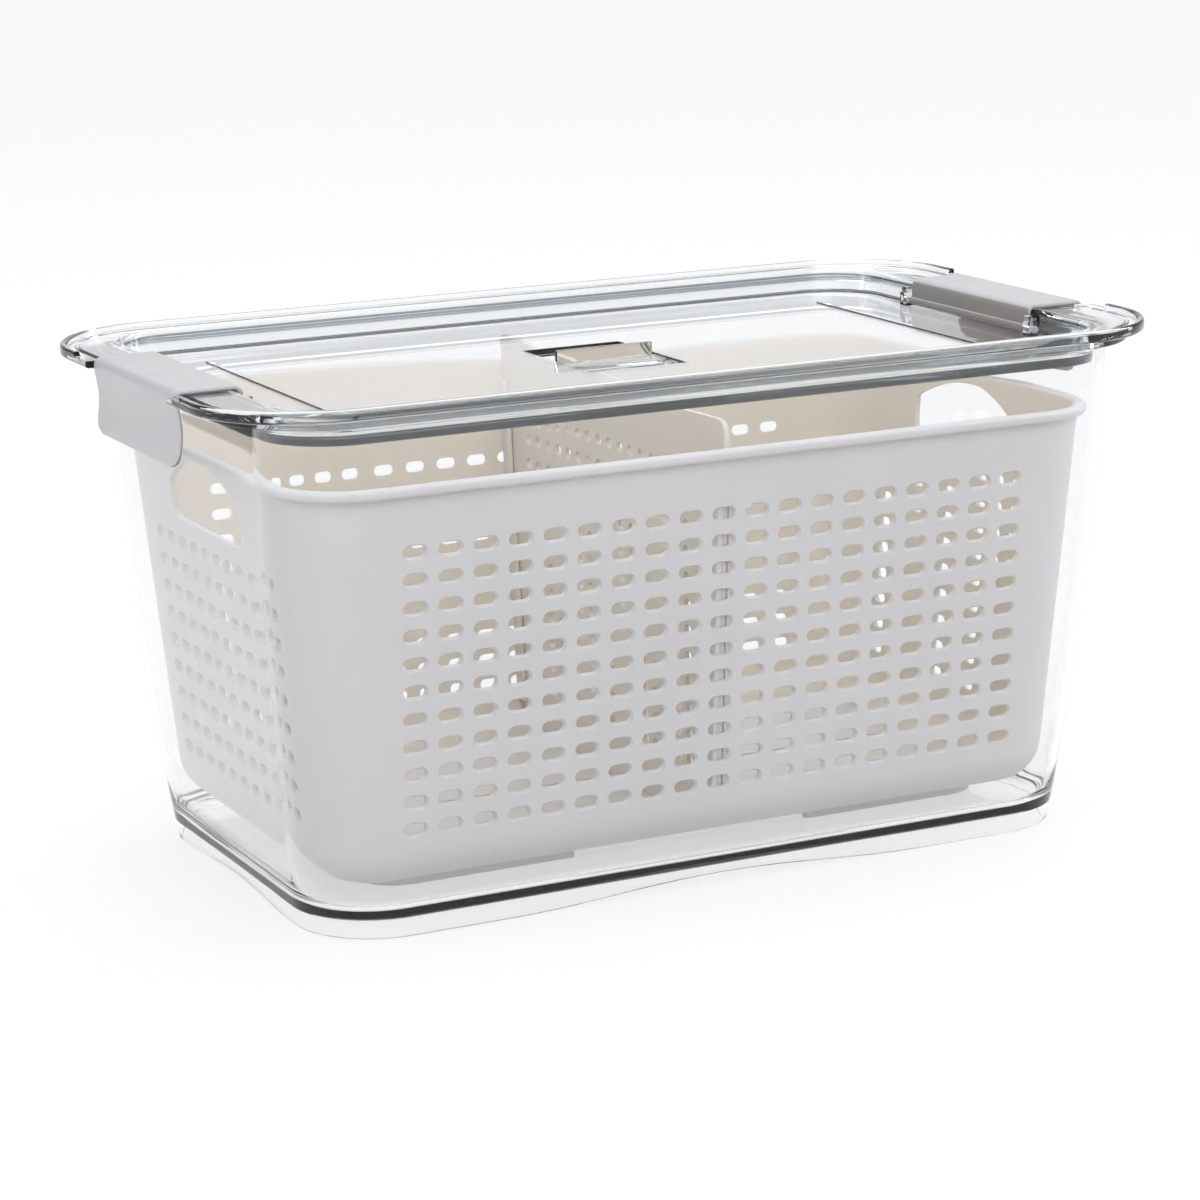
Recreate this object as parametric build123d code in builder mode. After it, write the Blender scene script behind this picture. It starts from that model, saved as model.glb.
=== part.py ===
from build123d import *

import os

# Fridge storage box: clear bin, clear recessed lid with two grey clips and a vent slider,
# grey drain basket and its divider. Millimetres, +Z up, +X along the length.
# The origin is the middle of the base, on the surface that the box stands on.

# Lid outline, which sets the size of the whole box
lid_length = 320.0
lid_width = 188.0
lid_top_z = 164.0
lid_corner_radius = 38.0

# Bin
bin_top_length = 288.0
bin_top_width = 176.0
bin_floor_length = 265.0
bin_floor_width = 154.6
bin_corner_radius = 26.0
bin_floor_corner_radius = 27.0
bin_wall = 2.2
bin_bulge = 0.7
floor_top_z = 8.45
floor_thickness = 1.87
bin_flange_length = 308.4
bin_flange_width = 181.6
bin_flange_thickness = 2.2
bin_flange_edge = 0.7
base_arch_length = 146.0
base_arch_rise = 3.3
end_arch_length = 96.0
end_arch_rise = 2.5

# Lid
lid_seat_gap = 0.2
lid_flange_thickness = 2.2
rim_bead_width = 2.0
rim_bead_height = 1.6
ridge_inset = 5.0
ridge_width = 1.0
ridge_height = 0.4
plug_gap = 2.1
plug_draft = 0.9
lid_wall = 2.2
panel_top_z = 154.4
panel_thickness = 2.5
panel_step_x = 112.0
panel_step_width = 1.6
panel_step_height = 0.5
panel_step_length = 118.0

# Clips and their hinges
clip_width = 73.0
clip_thickness = 1.6
clip_top_z = 163.8
clip_outer_x = 157.6
clip_waist_x = 156.5
clip_waist_z = 151.0
clip_lip_x = 157.6
clip_bottom_z = 140.5
clip_corner_radius = 2.0
clip_lip_radius = 5.0
clip_waist_radius = 8.0
clip_gap = 0.3
clip_wall_proud = 1.8
barrel_radius = 1.5
trunnion_radius = 1.3
trunnion_length = 3.1
trunnion_clearance = 0.06
ear_thickness = 4.0
ear_margin = 1.3
notch_width = 96.0
notch_depth = 6.2

# Vent in the middle of the lid
vent_length = 36.0
vent_width = 49.0
vent_lip = 0.9
vent_lip_thickness = 0.6
vent_opening_width = 22.0
slider_thickness = 1.1
slider_gap = 0.12
slider_grip_height = 3.4
slider_grip_thickness = 2.0
slider_grip_edge = 0.5

# Drain basket
basket_end_gap = 4.8
basket_side_gap = 3.8
basket_top_z = 138.0
basket_wall = 1.8
basket_corner_radius = 22.0
basket_bottom_radius = 12.0
basket_foot_height = 5.0
basket_foot_gap = 0.3
rim_overhang = 2.6
rim_height = 3.0
rim_edge = 0.9
slot_length = 7.6
slot_height = 4.2
side_columns = 19
side_rows = 11
side_pitch_x = 11.28
side_pitch_z = 8.56
side_lowest_row_z = 32.2
end_slot_length = 6.84
end_columns = 10
end_rows = 9
end_pitch_y = 10.0
end_pitch_z = 8.9
end_lowest_row_z = 33.3
handle_width = 60.0
handle_bottom_z = 112.5
handle_side_height = 12.0
handle_rise = 9.5
foot_ring_length = 216.0
foot_ring_width = 111.0
foot_ring_radius = 14.0
foot_ring_wall = 3.0
foot_side_gap = 82.0
foot_end_gap = 52.0
drain_slot_length = 24.0
drain_slot_width = 4.0
drain_columns = 6
drain_rows = 3
drain_pitch_x = 36.0
drain_pitch_y = 28.0

# Divider and the rib pairs that hold it
divider_x = 1.4
divider_thickness = 1.6
divider_top_z = 146.0
divider_end_gap = 0.5
divider_corner_radius = 4.0
divider_floor_gap = 0.3
divider_slots = 15
divider_slot_pitch = 8.6
divider_slot_width = 2.6
divider_slot_height = 34.0
divider_slot_rows = 2
divider_slot_row_pitch = 52.0
divider_lowest_slot_z = 58.0
rib_thickness = 1.6
rib_depth = 4.5
rib_gap = 0.3
rib_top_margin = 4.0

# Places worked out from the sizes above
lid_flange_top = lid_top_z - rim_bead_height
lid_flange_bottom = lid_flange_top - lid_flange_thickness
bin_top_z = lid_flange_bottom - lid_seat_gap
floor_bottom_z = floor_top_z - floor_thickness
panel_bottom_z = panel_top_z - panel_thickness
basket_floor_z = floor_top_z + basket_foot_gap + basket_foot_height
plug_length = bin_top_length - 2 * (bin_wall + plug_gap)
plug_width = bin_top_width - 2 * (bin_wall + plug_gap)
plug_radius = bin_corner_radius - bin_wall - plug_gap
clip_half = clip_width / 2
hinge_x = plug_length / 2 - lid_wall + clip_thickness / 2 - clip_wall_proud
hinge_z = panel_top_z + clip_gap + barrel_radius
pocket_x = hinge_x + barrel_radius + clip_gap
pocket_half = clip_half + clip_gap
divider_floor_z = basket_floor_z + basket_wall + divider_floor_gap


def bin_outline(z):
    """Length, width and corner radius of the bin's outside at a height."""
    share = (z - floor_top_z) / (bin_top_z - floor_top_z)
    growth = share + bin_bulge * share * (1 - share)
    length = bin_floor_length + (bin_top_length - bin_floor_length) * growth
    width = bin_floor_width + (bin_top_width - bin_floor_width) * growth
    radius = bin_corner_radius + (bin_floor_corner_radius - bin_corner_radius) * (1 - share)
    return length, width, radius


def basket_outline(z):
    """Length and width of the basket's outside at a height: the bin's straight draft, inset."""
    low = bin_outline(basket_floor_z)
    high = bin_outline(basket_top_z)
    share = (z - basket_floor_z) / (basket_top_z - basket_floor_z)
    length = low[0] + (high[0] - low[0]) * share - 2 * (bin_wall + basket_end_gap)
    width = low[1] + (high[1] - low[1]) * share - 2 * (bin_wall + basket_side_gap)
    return length, width


def base_arch(plane, length, rise):
    """Soft arch under the base, seen along one pair of sides."""
    with BuildSketch(plane) as arch:
        with BuildLine():
            Spline((-length / 2, 0), (0, rise), (length / 2, 0), tangents=((1, 0), (1, 0)))
            Polyline((length / 2, 0), (length / 2, -rise), (-length / 2, -rise), (-length / 2, 0))
        make_face()
    return arch.sketch


# Clear bin: drafted, slightly bellied walls over a raised floor, with a flange at the mouth
wall_shares = (0.3, 0.65, 1)
bin_heights = [0] + [share * bin_top_z for share in wall_shares]
with BuildPart() as outer_bin:
    for height in bin_heights:
        length, width, radius = bin_outline(height)
        with BuildSketch(Plane.XY.offset(height)):
            RectangleRounded(length, width, radius)
    loft()
    with BuildSketch(Plane.XY.offset(bin_top_z - bin_flange_thickness)):
        flange_radius = lid_corner_radius - (lid_length - bin_flange_length) / 2 + bin_wall
        RectangleRounded(bin_flange_length, bin_flange_width, flange_radius)
    extrude(amount=bin_flange_thickness)
    flange_edges = outer_bin.faces().sort_by(Axis.Z)[-1].outer_wire().edges()
    chamfer(flange_edges, length=bin_flange_edge)
    cavity_heights = [floor_top_z] + bin_heights[1:]
    for height in cavity_heights:
        length, width, radius = bin_outline(height)
        with BuildSketch(Plane.XY.offset(height)):
            RectangleRounded(length - 2 * bin_wall, width - 2 * bin_wall, radius - bin_wall)
    loft(mode=Mode.SUBTRACT)
    for height in (0, floor_bottom_z):
        length, width, radius = bin_outline(height)
        with BuildSketch(Plane.XY.offset(height)):
            RectangleRounded(length - 2 * bin_wall, width - 2 * bin_wall, radius - bin_wall)
    loft(ruled=True, mode=Mode.SUBTRACT)
    side_arch = base_arch(Plane.XZ, base_arch_length, base_arch_rise)
    extrude(side_arch, amount=lid_width, both=True, mode=Mode.SUBTRACT)
    end_arch = base_arch(Plane.YZ, end_arch_length, end_arch_rise)
    extrude(end_arch, amount=lid_length, both=True, mode=Mode.SUBTRACT)
outer_bin.part.label = "outer_bin"


# Clear lid: wide flange with a rim bead, deep recess, clip pockets, hinge ears and vent
with BuildPart() as lid:
    with BuildSketch(Plane.XY.offset(lid_flange_bottom)):
        RectangleRounded(lid_length, lid_width, lid_corner_radius)
    extrude(amount=lid_flange_thickness)
    with BuildSketch(Plane.XY.offset(lid_flange_top)):
        RectangleRounded(lid_length, lid_width, lid_corner_radius)
        bead_inset = 2 * rim_bead_width
        RectangleRounded(
            lid_length - bead_inset, lid_width - bead_inset, lid_corner_radius - rim_bead_width,
            mode=Mode.SUBTRACT,
        )
    extrude(amount=rim_bead_height)
    with BuildSketch(Plane.XY.offset(lid_flange_top)):
        for inset, mode in ((ridge_inset, Mode.ADD), (ridge_inset + ridge_width, Mode.SUBTRACT)):
            RectangleRounded(
                lid_length - 2 * inset, lid_width - 2 * inset, lid_corner_radius - inset, mode=mode
            )
    extrude(amount=ridge_height)
    # Plug that drops into the bin's mouth
    with BuildSketch(Plane.XY.offset(panel_bottom_z)):
        RectangleRounded(plug_length, plug_width, plug_radius)
    with BuildSketch(Plane.XY.offset(lid_flange_bottom)):
        RectangleRounded(
            plug_length + 2 * plug_draft, plug_width + 2 * plug_draft, plug_radius + plug_draft
        )
    loft(ruled=True)
    # Thicker wall behind each clip pocket
    with BuildSketch(Plane.XY.offset(panel_bottom_z)):
        boss_length = 2 * (pocket_x + lid_wall / 2)
        Rectangle(boss_length, clip_width + 2 * ear_thickness)
    extrude(amount=lid_flange_bottom - panel_bottom_z)
    # Recess
    with BuildSketch(Plane.XY.offset(panel_top_z)):
        RectangleRounded(plug_length - 2 * lid_wall, plug_width - 2 * lid_wall, plug_radius - lid_wall)
    with BuildSketch(Plane.XY.offset(lid_top_z)):
        RectangleRounded(
            plug_length - 2 * lid_wall + 2 * plug_draft,
            plug_width - 2 * lid_wall + 2 * plug_draft,
            plug_radius - lid_wall + plug_draft,
        )
    loft(ruled=True, mode=Mode.SUBTRACT)
    # Clip pockets, the lowered flange under each clip and the notches that the flaps pass
    with BuildSketch(Plane.XY.offset(panel_top_z)):
        Rectangle(2 * pocket_x, 2 * pocket_half)
    extrude(amount=lid_top_z - panel_top_z, mode=Mode.SUBTRACT)
    clip_underside = clip_top_z - clip_thickness
    with BuildSketch(Plane.XY.offset(clip_underside - lid_seat_gap)):
        Rectangle(lid_length, 2 * pocket_half)
    extrude(amount=lid_top_z - clip_underside + lid_seat_gap, mode=Mode.SUBTRACT)
    with BuildSketch(Plane.XY.offset(lid_flange_bottom)):
        for side in (-1, 1):
            with Locations((side * lid_length / 2, 0)):
                Rectangle(2 * notch_depth, 2 * pocket_half)
    extrude(amount=lid_flange_thickness + rim_bead_height, mode=Mode.SUBTRACT)
    with BuildSketch(Plane.XY.offset(lid_flange_top)):
        for side in (-1, 1):
            with Locations((side * lid_length / 2, 0)):
                Rectangle(2 * rim_bead_width, notch_width)
    extrude(amount=rim_bead_height, mode=Mode.SUBTRACT)
    # Ears that carry the clips' trunnions
    ear_height = hinge_z + trunnion_radius + ear_margin - panel_top_z
    ear_low_x = hinge_x - trunnion_radius - ear_margin
    ear_length = pocket_x - ear_low_x
    with BuildSketch(Plane.XY.offset(panel_top_z)):
        for side in (-1, 1):
            for end in (-1, 1):
                ear_x = side * (ear_low_x + ear_length / 2)
                ear_y = end * (pocket_half + ear_thickness / 2)
                with Locations((ear_x, ear_y)):
                    Rectangle(ear_length, ear_thickness)
    extrude(amount=ear_height)
    bore_half = clip_half + trunnion_length + clip_gap
    with BuildSketch(Plane.XZ):
        with Locations((hinge_x, hinge_z), (-hinge_x, hinge_z)):
            Circle(trunnion_radius + trunnion_clearance)
    extrude(amount=bore_half, both=True, mode=Mode.SUBTRACT)
    # Low step lines across the panel, inboard of each clip
    with BuildSketch(Plane.XY.offset(panel_top_z)):
        with Locations((panel_step_x, 0), (-panel_step_x, 0)):
            Rectangle(panel_step_width, panel_step_length)
    extrude(amount=panel_step_height)
    # Vent: the slider's track, its top lips and the opening in the far half
    track_height = slider_thickness + 2 * slider_gap
    track_floor_z = panel_top_z - vent_lip_thickness - track_height
    with BuildSketch(Plane.XY.offset(track_floor_z)):
        Rectangle(vent_length, vent_width)
    extrude(amount=track_height, mode=Mode.SUBTRACT)
    with BuildSketch(Plane.XY.offset(track_floor_z)):
        Rectangle(vent_length - 2 * vent_lip, vent_width)
    extrude(amount=panel_top_z - track_floor_z, mode=Mode.SUBTRACT)
    vent_opening_y = vent_width / 2 - vent_opening_width / 2 - vent_lip
    with BuildSketch(Plane.XY.offset(panel_bottom_z)):
        with Locations((0, vent_opening_y)):
            Rectangle(vent_length - 2 * vent_lip, vent_opening_width)
    extrude(amount=panel_thickness, mode=Mode.SUBTRACT)
lid.part.label = "lid"


# Vent slider: a plate in the track with a finger grip at its far edge
with BuildPart() as vent_slider:
    plate_width = vent_width / 2 + slider_grip_thickness / 2
    plate_y = -vent_width / 2 + slider_gap + plate_width / 2
    with BuildSketch(Plane.XY.offset(track_floor_z + slider_gap)):
        with Locations((0, plate_y)):
            Rectangle(vent_length - 2 * slider_gap, plate_width)
    extrude(amount=slider_thickness)
    grip_y = plate_y + plate_width / 2 - slider_grip_thickness / 2
    grip_length = vent_length - 2 * vent_lip - 4 * slider_gap
    with BuildSketch(Plane.XY.offset(track_floor_z + slider_gap + slider_thickness)):
        with Locations((0, grip_y)):
            Rectangle(grip_length, slider_grip_thickness)
    extrude(amount=panel_top_z + slider_grip_height - track_floor_z - slider_gap - slider_thickness)
    fillet(vent_slider.faces().sort_by(Axis.Z)[-1].edges(), radius=slider_grip_edge)
vent_slider.part.label = "vent_slider"


# Clip: wall in the lid's recess, saddle over the flange and a waisted flap outside the bin
with BuildPart() as right_clip:
    plate_middle_z = clip_top_z - clip_thickness / 2
    flap_top_x = clip_outer_x - clip_thickness / 2
    with BuildSketch(Plane.XZ):
        with BuildLine():
            FilletPolyline(
                (hinge_x, hinge_z),
                (hinge_x, plate_middle_z),
                (flap_top_x, plate_middle_z),
                (clip_waist_x - clip_thickness / 2, clip_waist_z),
                (clip_lip_x - clip_thickness / 2, clip_bottom_z),
                radius=[clip_corner_radius, clip_corner_radius, clip_waist_radius],
            )
        trace(line_width=clip_thickness)
        with Locations((hinge_x, hinge_z)):
            Circle(barrel_radius)
    extrude(amount=clip_half, both=True)
    with BuildSketch(Plane.YZ.offset(hinge_x - 2 * barrel_radius)):
        clip_low_z = clip_bottom_z - clip_thickness
        clip_height = clip_top_z - clip_low_z + clip_lip_radius
        with Locations((0, clip_low_z + clip_height / 2)):
            RectangleRounded(clip_width, clip_height, clip_lip_radius)
    extrude(amount=lid_length / 2 - hinge_x + 2 * barrel_radius, mode=Mode.INTERSECT)
    with BuildSketch(Plane.XZ):
        with Locations((hinge_x, hinge_z)):
            Circle(trunnion_radius)
    extrude(amount=clip_half + trunnion_length, both=True)
right_clip.part.label = "right_clip"

with BuildPart() as left_clip:
    mirror(right_clip.part, about=Plane.YZ)
left_clip.part.label = "left_clip"


def basket_section(height, inset):
    """Section of the basket's outside, or of its inside when inset by the wall."""
    length, width = basket_outline(height)
    with BuildSketch(Plane.XY.offset(height)) as section:
        RectangleRounded(length - 2 * inset, width - 2 * inset, basket_corner_radius - inset)
    return section.sketch


# Drain basket: drafted walls with a rolled rim, slotted all round, with two hand holes
with BuildPart() as basket_inside:
    inside_heights = (basket_floor_z + basket_wall, basket_top_z)
    loft([basket_section(height, basket_wall) for height in inside_heights], ruled=True)
    inside_floor = basket_inside.faces().sort_by(Axis.Z)[0].edges()
    fillet(inside_floor, radius=basket_bottom_radius - basket_wall)

with BuildPart() as basket:
    loft([basket_section(height, 0) for height in (basket_floor_z, basket_top_z)], ruled=True)
    fillet(basket.faces().sort_by(Axis.Z)[0].edges(), radius=basket_bottom_radius)
    rim_length, rim_width = basket_outline(basket_top_z)
    with BuildSketch(Plane.XY.offset(basket_top_z - rim_height)):
        RectangleRounded(
            rim_length + 2 * rim_overhang, rim_width + 2 * rim_overhang,
            basket_corner_radius + rim_overhang,
        )
    extrude(amount=rim_height)
    chamfer(basket.faces().sort_by(Axis.Z)[-1].edges(), length=rim_edge)
    add(basket_inside.part, mode=Mode.SUBTRACT)
    # Slots in the long walls; the far wall has no top row
    grid_reach = rim_width / 2
    for side, rows in ((-1, side_rows), (1, side_rows - 1)):
        grid_middle_z = side_lowest_row_z + (rows - 1) * side_pitch_z / 2
        with BuildSketch(Plane.XZ.offset(-side * basket_corner_radius)):
            with Locations((0, grid_middle_z)):
                with GridLocations(side_pitch_x, side_pitch_z, side_columns, rows):
                    Rectangle(slot_length, slot_height)
        extrude(amount=-side * grid_reach, mode=Mode.SUBTRACT)
    # Slots in both ends
    end_middle_z = end_lowest_row_z + (end_rows - 1) * end_pitch_z / 2
    with BuildSketch(Plane.YZ):
        with Locations((0, end_middle_z)):
            with GridLocations(end_pitch_y, end_pitch_z, end_columns, end_rows):
                Rectangle(end_slot_length, slot_height)
    extrude(amount=rim_length, both=True, mode=Mode.SUBTRACT)
    # Arched hand holes
    handle_shoulder_z = handle_bottom_z + handle_side_height
    with BuildSketch(Plane.YZ):
        with BuildLine():
            Polyline(
                (-handle_width / 2, handle_shoulder_z),
                (-handle_width / 2, handle_bottom_z),
                (handle_width / 2, handle_bottom_z),
                (handle_width / 2, handle_shoulder_z),
            )
            ThreePointArc(
                (handle_width / 2, handle_shoulder_z),
                (0, handle_shoulder_z + handle_rise),
                (-handle_width / 2, handle_shoulder_z),
            )
        make_face()
    extrude(amount=rim_length, both=True, mode=Mode.SUBTRACT)
    # Drain slots in the floor
    with BuildSketch(Plane.XY.offset(basket_floor_z)):
        with GridLocations(drain_pitch_x, drain_pitch_y, drain_columns, drain_rows):
            Rectangle(drain_slot_length, drain_slot_width)
    extrude(amount=basket_wall, mode=Mode.SUBTRACT)
    # Feet: a ring under the floor, open in the middle of each side
    with BuildSketch(Plane.XY.offset(basket_floor_z - basket_foot_height)):
        RectangleRounded(foot_ring_length, foot_ring_width, foot_ring_radius)
        RectangleRounded(
            foot_ring_length - 2 * foot_ring_wall, foot_ring_width - 2 * foot_ring_wall,
            foot_ring_radius - foot_ring_wall, mode=Mode.SUBTRACT,
        )
        Rectangle(foot_side_gap, lid_width, mode=Mode.SUBTRACT)
        Rectangle(lid_length, foot_end_gap, mode=Mode.SUBTRACT)
    extrude(amount=basket_foot_height)
    # Rib pairs that hold the divider
    rib_low_z = basket_floor_z + basket_bottom_radius
    rib_high_z = basket_top_z - rib_top_margin
    rib_offset = divider_thickness / 2 + rib_gap + rib_thickness / 2
    low_y = basket_outline(rib_low_z)[1] / 2 - basket_wall
    high_y = basket_outline(rib_high_z)[1] / 2 - basket_wall
    for rib_x in (divider_x - rib_offset, divider_x + rib_offset):
        with BuildSketch(Plane.YZ.offset(rib_x)):
            with BuildLine():
                Polyline(
                    (low_y - rib_depth, rib_low_z),
                    (low_y + basket_wall / 2, rib_low_z),
                    (high_y + basket_wall / 2, rib_high_z),
                    (high_y - rib_depth, rib_high_z),
                    close=True,
                )
            make_face()
            mirror(about=Plane.YZ)
        extrude(amount=rib_thickness / 2, both=True)
basket.part.label = "basket"


# Divider: a slotted plate that drops between the rib pairs
with BuildPart() as divider:
    bottom_y = basket_outline(divider_floor_z)[1] / 2 - basket_wall - divider_end_gap
    top_y = basket_outline(divider_top_z)[1] / 2 - basket_wall - divider_end_gap
    with BuildSketch(Plane.YZ.offset(divider_x)) as divider_face:
        with BuildLine():
            Polyline(
                (-bottom_y, divider_floor_z),
                (bottom_y, divider_floor_z),
                (top_y, divider_top_z),
                (-top_y, divider_top_z),
                close=True,
            )
        make_face()
        fillet(divider_face.vertices().sort_by(Axis.Y)[:2], radius=basket_bottom_radius)
        fillet(divider_face.vertices().sort_by(Axis.Y)[-2:], radius=divider_corner_radius)
        slot_middle_z = divider_lowest_slot_z + (divider_slot_rows - 1) * divider_slot_row_pitch / 2
        with Locations((0, slot_middle_z)):
            with GridLocations(
                divider_slot_pitch, divider_slot_row_pitch, divider_slots, divider_slot_rows
            ):
                Rectangle(divider_slot_width, divider_slot_height, mode=Mode.SUBTRACT)
    extrude(amount=divider_thickness / 2, both=True)
divider.part.label = "divider"


os.makedirs("parts", exist_ok=True)
for piece in (outer_bin, lid, vent_slider, right_clip, left_clip, basket, divider):
    export_step(piece.part, f"parts/{piece.part.label}.step")
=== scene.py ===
from math import cos, pi, radians, sin

import bmesh
import bpy
from mathutils import Matrix, Vector


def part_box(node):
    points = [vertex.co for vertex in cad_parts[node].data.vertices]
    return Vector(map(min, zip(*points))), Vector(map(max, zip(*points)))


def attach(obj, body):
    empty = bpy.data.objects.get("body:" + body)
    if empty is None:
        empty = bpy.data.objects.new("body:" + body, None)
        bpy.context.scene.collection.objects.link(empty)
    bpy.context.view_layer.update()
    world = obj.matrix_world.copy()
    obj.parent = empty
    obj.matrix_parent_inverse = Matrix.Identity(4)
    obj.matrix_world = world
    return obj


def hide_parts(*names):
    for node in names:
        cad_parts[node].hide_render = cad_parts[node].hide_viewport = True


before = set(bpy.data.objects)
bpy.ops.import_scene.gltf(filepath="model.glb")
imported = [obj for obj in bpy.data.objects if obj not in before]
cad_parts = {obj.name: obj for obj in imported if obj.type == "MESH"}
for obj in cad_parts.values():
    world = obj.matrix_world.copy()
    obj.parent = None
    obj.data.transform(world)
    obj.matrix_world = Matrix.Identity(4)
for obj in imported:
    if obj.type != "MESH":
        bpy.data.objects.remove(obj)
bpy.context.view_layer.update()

# Every size below is in millimetres until a mesh is made
MM = 0.001
# A face is level if its normal points this far up or down, and broad above this area in m2
LEVEL = 0.9999
BROAD_AREA = 0.0001

# Camera of the photograph: turn and height round the box, roll, and a long lens
VIEW_AZIMUTH = -25.93
VIEW_ELEVATION = 13.35
VIEW_ROLL = -1.214
VIEW_DISTANCE = 1174.9
VIEW_TARGET_Z = 80.0
VIEW_SHIFT_RIGHT = -2.86
VIEW_SHIFT_UP = -5.17
LENS_MM = 109.0
SENSOR_MM = 36.0

# Sizes shared with the CAD model
LID_TOP = 164.0
LID_CORNER = 38.0
BEAD_WIDTH = 2.0
BEAD_HEIGHT = 1.6
FLANGE_THICK = 2.2
SEAT_GAP = 0.2
PANEL_TOP = 154.4
PANEL_THICK = 2.5
LID_WALL = 2.2
LID_EDGE = 1.0
RIDGE_LINES = (5.0, 6.0)
RIDGE_HEIGHT = 0.3
SHOULDER = 1.4
PANEL_FILLET = 1.6
PLUG_EDGE = 0.6
PLUG_GAP = 2.1
PLUG_DRAFT = 0.9
BIN_TOP_SIZE = (288.0, 176.0)
BIN_FLOOR_SIZE = (265.0, 154.6)
BIN_CORNER = 26.0
BIN_WALL = 2.2
BIN_BULGE = 0.7
BIN_EDGE = 0.5
BIN_FILLET = 4.0
BIN_FLANGE_EDGE = 0.7
BIN_MOUTH_EDGE = 0.6
FLOOR_TOP = 8.45
FLOOR_THICK = 1.87
ARCH_LENGTHS = (146.0, 96.0)
ARCH_RISES = (3.3, 2.5)
CLIP_WIDTH = 73.0
CLIP_THICK = 1.6
CLIP_TOP = 163.8
CLIP_OUTER_X = 157.6
CLIP_WAIST = (156.5, 151.0)
CLIP_BOTTOM = 140.5
CLIP_RADIUS = 2.0
CLIP_LIP_RADIUS = 5.0
CLIP_GAP = 0.3
CLIP_PROUD = 1.8
BARREL_RADIUS = 1.5
TRUNNION_RADIUS = 1.3
TRUNNION_LENGTH = 3.1
EAR_THICK = 4.0
EAR_MARGIN = 1.3
BORE_GAP = 0.08
BOSS_DEPTH = 3.0
NOTCH_WIDTH = 96.0
NOTCH_DEPTH = 6.2
VENT_SIZE = (36.0, 49.0)
VENT_LIP = 0.9
VENT_LIP_THICK = 0.6
VENT_OPENING_WIDTH = 22.0
SLIDER_THICK = 1.1
SLIDER_GAP = 0.12
SLIDER_EDGE = 0.25
GRIP_HEIGHT = 3.4
GRIP_THICK = 2.0
PANEL_STEP_X = 112.0
PANEL_STEP_SIZE = (1.6, 118.0)
PANEL_STEP_HEIGHT = 0.5
BASKET_TOP = 138.0
BASKET_WALL = 1.8
BASKET_CORNERS = (19.5, 22.0)
BASKET_FILLET = 12.0
BASKET_INSETS = (7.0, 6.0)
FOOT_HEIGHT = 5.0
FOOT_GAP = 0.3
FOOT_EDGE = 0.5
RIM_OVERHANG = 2.6
RIM_HEIGHT = 3.0
SIDE_GRID = (19, 11, 11.28, 8.56, 32.2)
END_GRID = (10, 9, 10.0, 8.9, 33.3)
SLOT_SIZE = (8.4, 4.7)
SLOT_CORE = (7.1, 3.6)
END_SLOT_SIZE = (7.6, 4.6)
END_SLOT_CORE = (6.4, 3.6)
SLOT_CHAMFER = 0.5
HANDLE_WIDTH = 60.0
HANDLE_BOTTOM = 112.5
HANDLE_SIDE = 12.0
HANDLE_RISE = 9.5
HANDLE_CORNER = 4.0
DRAIN_GRID = (6, 3, 36.0, 28.0)
DRAIN_SLOT = (24.0, 4.0)
FOOT_RING = (216.0, 111.0, 14.0, 3.0)
FOOT_GAPS = (82.0, 52.0)
DIVIDER_X = 1.4
DIVIDER_THICK = 1.6
DIVIDER_TOP = 146.0
DIVIDER_END_GAP = 0.5
DIVIDER_GRID = (17, 12, 7.6, 8.4, 34.0)
DIVIDER_SLOT = (4.6, 3.6)
RIB_THICK = 1.6
RIB_DEPTH = 4.5
RIB_GAP = 0.3
RIB_TOP_MARGIN = 4.0
RIB_EDGE = 0.3
DIVIDER_HEAD = 4.0
# Overlap of joined pieces, how far a cut runs past what it cuts, and a step too small to see
JOIN = 0.5
PAST = 2.0
SLIGHT = 0.001

lid_low, lid_high = [[value / MM for value in corner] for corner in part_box("lid")]
flange_low, flange_high = [[value / MM for value in corner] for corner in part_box("outer_bin")]
LID_HALF = (lid_high[0], lid_high[1])
BIN_FLANGE_HALF = (flange_high[0], flange_high[1])
LID_FLANGE_TOP = LID_TOP - BEAD_HEIGHT
LID_FLANGE_BOTTOM = LID_FLANGE_TOP - FLANGE_THICK
BIN_TOP = LID_FLANGE_BOTTOM - SEAT_GAP
PANEL_BOTTOM = PANEL_TOP - PANEL_THICK
PLUG_HALF = tuple(size / 2 - BIN_WALL - PLUG_GAP for size in BIN_TOP_SIZE)
PLUG_RADIUS = BIN_CORNER - BIN_WALL - PLUG_GAP
HINGE_X = PLUG_HALF[0] - LID_WALL + CLIP_THICK / 2 - CLIP_PROUD
HINGE_Z = PANEL_TOP + CLIP_GAP + BARREL_RADIUS
POCKET_X = HINGE_X + BARREL_RADIUS + CLIP_GAP
POCKET_HALF = CLIP_WIDTH / 2 + CLIP_GAP
BASKET_FLOOR = FLOOR_TOP + FOOT_GAP + FOOT_HEIGHT
TRACK_HEIGHT = SLIDER_THICK + 2 * SLIDER_GAP
TRACK_FLOOR = PANEL_TOP - VENT_LIP_THICK - TRACK_HEIGHT


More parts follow.
